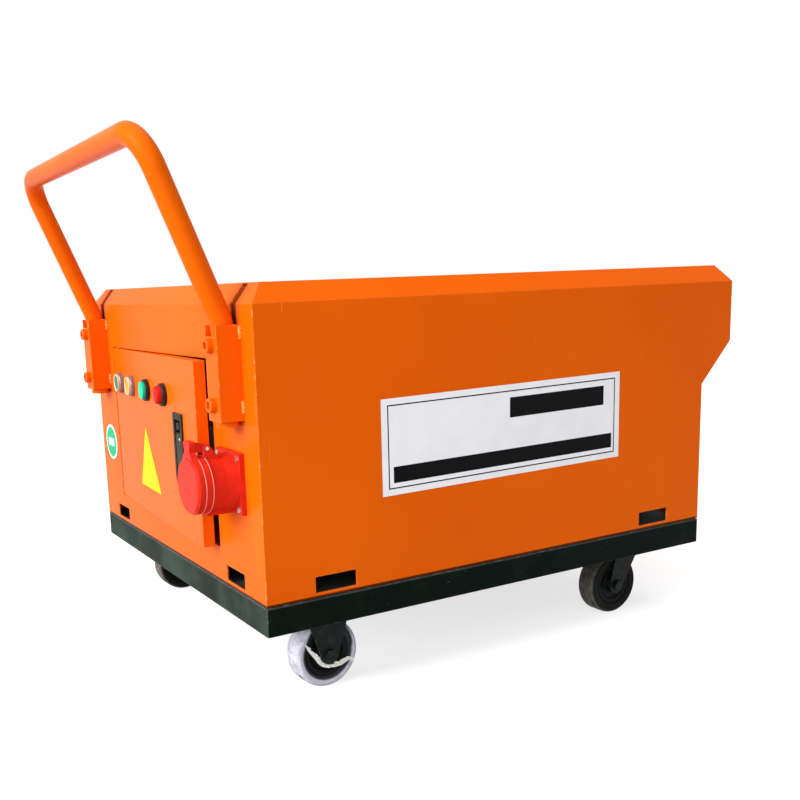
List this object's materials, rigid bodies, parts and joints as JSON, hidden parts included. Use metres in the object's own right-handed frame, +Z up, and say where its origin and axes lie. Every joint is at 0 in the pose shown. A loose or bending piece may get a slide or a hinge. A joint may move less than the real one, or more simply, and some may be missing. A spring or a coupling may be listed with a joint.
{
  "type": "screw concrete pump",
  "caption": "Wheeled screw concrete pump: sheet-metal body on a tube frame with hopper, driven auger, delivery barrel, control door, power inlet and push handle.",
  "frame": {"origin": "centre of the footprint on the floor", "axes": "+X towards the hopper and outlet, -X towards the push handle, +Z up"},
  "size_m": [1.3308, 0.866, 0.967],
  "materials": {
    "frame_paint": "dark green-black gloss enamel, scuffed",
    "orange_paint": "orange gloss powder coat",
    "zinc_steel": "bright zinc plate",
    "caster_steel": "dark pressed steel",
    "tyre_rubber": "solid rubber tread",
    "worn_steel": "steel polished by concrete",
    "cast_steel": "grey cast and machined",
    "motor_paint": "blue-grey machine enamel",
    "galvanised": "galvanised sheet",
    "switch_plastic": "light grey moulding",
    "black_plastic": "black moulding",
    "green_lens": "translucent green",
    "yellow_lens": "translucent amber",
    "green_plastic": "green moulding",
    "red_plastic": "red moulding",
    "latch_lever_grey": "grey-green die casting",
    "brass_pins": "bright"
  },
  "bodies": {
    "frame": {"side_rails": "frame_paint", "end_rails": "frame_paint", "cross_members": "frame_paint", "deck_plate": "frame_paint", "caster_mounts": "frame_paint", "machine_bolts": "zinc_steel", "fixed_forks": "caster_steel", "fixed_axles": "zinc_steel", "swivel_plates": "caster_steel", "side_panel_near": "orange_paint", "side_panel_far": "orange_paint", "hopper_end_panel": "orange_paint", "control_end_panel": "orange_paint", "corner_angles": "orange_paint", "hopper_saddles": "frame_paint", "delivery_barrel": "cast_steel", "outlet_reducer": "cast_steel", "bearing_housing": "cast_steel", "motor_housing": "motor_paint", "fan_cowl": "motor_paint", "terminal_box": "motor_paint", "drive_cradle": "frame_paint", "gear_unit": "motor_paint", "top_bridge": "orange_paint", "cover_ledge": "orange_paint", "hinge_pins": "zinc_steel", "hopper_bin": "orange_paint", "control_cabinet": "orange_paint", "mounting_plate": "galvanised", "contactors": "switch_plastic", "motor_breaker": "switch_plastic", "terminal_strip": "switch_plastic", "door_pivots": "zinc_steel", "inlet_screws": "zinc_steel", "inlet_housing": "red_plastic", "inlet_pins": "brass_pins", "handle_bolts": "orange_paint", "handle_brackets": "orange_paint", "push_handle": "orange_paint"},
    "door": {"door_panel": "orange_paint", "green_lamp": "green_lens", "yellow_lamp": "yellow_lens", "operator_bodies": "black_plastic", "door_latch": "black_plastic"},
    "latch_lever": {"latch_lever": "latch_lever_grey"},
    "green_button": {"green_button": "green_plastic"},
    "red_button": {"red_button": "red_plastic"},
    "inlet_lid": {"inlet_lid": "red_plastic"},
    "hopper_grate": {"hopper_grate": "orange_paint"},
    "motor_cover": {"motor_cover": "orange_paint"},
    "feed_screw": {"feed_screw": "worn_steel"},
    "motor_rotor": {"motor_rotor": "worn_steel"},
    "swivel_near": {"swivel_fork_near": "caster_steel", "swivel_axle_near": "zinc_steel"},
    "swivel_far": {"swivel_fork_far": "caster_steel", "swivel_axle_far": "zinc_steel"},
    "wheel_fixed_near": {"wheel_fixed_near": "tyre_rubber"},
    "wheel_fixed_far": {"wheel_fixed_far": "tyre_rubber"},
    "wheel_swivel_near": {"wheel_swivel_near": "tyre_rubber"},
    "wheel_swivel_far": {"wheel_swivel_far": "tyre_rubber"}
  },
  "joints": [
    {"name": "door_hinge", "type": "hinge", "parent": "frame", "child": "door", "pos_m": [-0.499, 0.291, 0.515], "axis": [0, 0, -1], "range_deg": [-3.2, 100]},
    {"name": "latch_swing", "type": "hinge", "parent": "door", "child": "latch_lever", "pos_m": [-0.52988, -0.14496, 0.447], "axis": [0.0558, 0.9984, 0], "range_deg": [0, 40]},
    {"name": "green_button_press", "type": "slide", "parent": "door", "child": "green_button", "axis": [0.9984, -0.0558, 0], "range_m": [0, 0.004], "stiffness_N_per_m": 300, "springref_m": -0.002},
    {"name": "red_button_press", "type": "slide", "parent": "door", "child": "red_button", "axis": [0.9984, -0.0558, 0], "range_m": [0, 0.004], "stiffness_N_per_m": 300, "springref_m": -0.002},
    {"name": "inlet_lid_hinge", "type": "hinge", "parent": "frame", "child": "inlet_lid", "pos_m": [-0.558, -0.325, 0.451], "axis": [0, 1, 0], "range_deg": [0, 110], "stiffness_Nm_per_rad": 0.05, "springref_deg": -28.65},
    {"name": "grate_hinge", "type": "hinge", "parent": "frame", "child": "hopper_grate", "pos_m": [0.01509, 0, 0.693], "axis": [0, -1, 0], "range_deg": [0, 90]},
    {"name": "cover_hinge", "type": "hinge", "parent": "frame", "child": "motor_cover", "pos_m": [-0.082, 0, 0.7085], "axis": [0, 1, 0], "range_deg": [0, 90]},
    {"name": "screw_spin", "type": "hinge", "parent": "frame", "child": "feed_screw", "pos_m": [0.13, 0, 0.34], "axis": [1, 0, 0], "continuous": true},
    {"name": "motor_spin", "type": "hinge", "parent": "frame", "child": "motor_rotor", "pos_m": [-0.2, 0, 0.34], "axis": [1, 0, 0], "continuous": true},
    {"name": "swivel_near_turn", "type": "hinge", "parent": "frame", "child": "swivel_near", "pos_m": [0.372, -0.35, 0.1395], "axis": [0, 0, 1], "continuous": true},
    {"name": "wheel_swivel_near_roll", "type": "hinge", "parent": "swivel_near", "child": "wheel_swivel_near", "pos_m": [0.332, -0.35, 0.0625], "axis": [0, 1, 0], "continuous": true},
    {"name": "wheel_fixed_near_roll", "type": "hinge", "parent": "frame", "child": "wheel_fixed_near", "pos_m": [-0.364, -0.35, 0.0625], "axis": [0, 1, 0], "continuous": true},
    {"name": "swivel_far_turn", "type": "hinge", "parent": "frame", "child": "swivel_far", "pos_m": [0.372, 0.35, 0.1395], "axis": [0, 0, 1], "continuous": true},
    {"name": "wheel_swivel_far_roll", "type": "hinge", "parent": "swivel_far", "child": "wheel_swivel_far", "pos_m": [0.332, 0.35, 0.0625], "axis": [0, 1, 0], "continuous": true},
    {"name": "wheel_fixed_far_roll", "type": "hinge", "parent": "frame", "child": "wheel_fixed_far", "pos_m": [-0.364, 0.35, 0.0625], "axis": [0, 1, 0], "continuous": true}
  ],
  "couplings": [
    {"joint": "motor_spin", "follows": "screw_spin", "ratio": 16}
  ]
}
